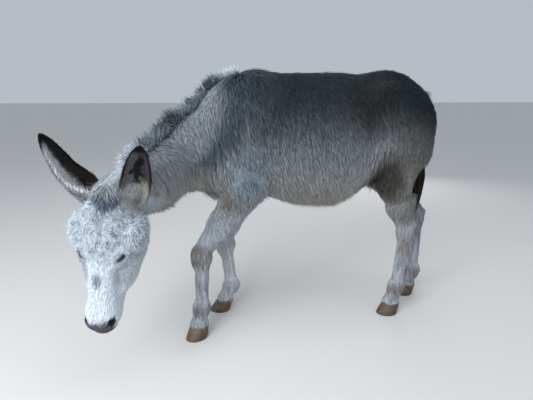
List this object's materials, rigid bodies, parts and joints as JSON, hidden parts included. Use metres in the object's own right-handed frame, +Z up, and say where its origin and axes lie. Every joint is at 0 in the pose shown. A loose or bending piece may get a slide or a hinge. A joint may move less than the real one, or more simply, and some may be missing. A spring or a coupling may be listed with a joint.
{
  "type": "donkey",
  "caption": "Life-size standing grey donkey with a thick winter coat, its head lowered and turned to its left as if feeding, ears forward and tail hanging.",
  "frame": {"origin": "on the floor, under the middle of the bounding box", "axes": "+Z up, head end towards -X, the animal's left side towards -Y"},
  "size_m": [1.5752, 0.7502, 1.096],
  "materials": {
    "coat": "thick matt winter coat, slate grey on the back, paler on the sides",
    "pale_coat": "matt, nearly white, curled on the forehead",
    "leg_coat": "short matt coat, grey streaks and stained joints",
    "ear_coat": "short matt coat, black rim, pale wool outside",
    "mane_hair": "short upright tufts, matt",
    "tail_hair": "long dark strands, slight sheen",
    "horn": "dull horn with growth rings",
    "eye": "wet gloss, dark brown"
  },
  "bodies": {
    "root": {"trunk": "coat", "neck": "coat", "head": "pale_coat", "leg_fore_left": "leg_coat", "hoof_fore_left": "horn", "leg_fore_right": "leg_coat", "hoof_fore_right": "horn", "leg_hind_left": "leg_coat", "hoof_hind_left": "horn", "leg_hind_right": "leg_coat", "hoof_hind_right": "horn", "ear_left": "ear_coat", "eye_left": "eye", "ear_right": "ear_coat", "eye_right": "eye", "mane": "mane_hair", "tail_dock": "coat", "tail_switch": "tail_hair"}
  },
  "joints": []
}
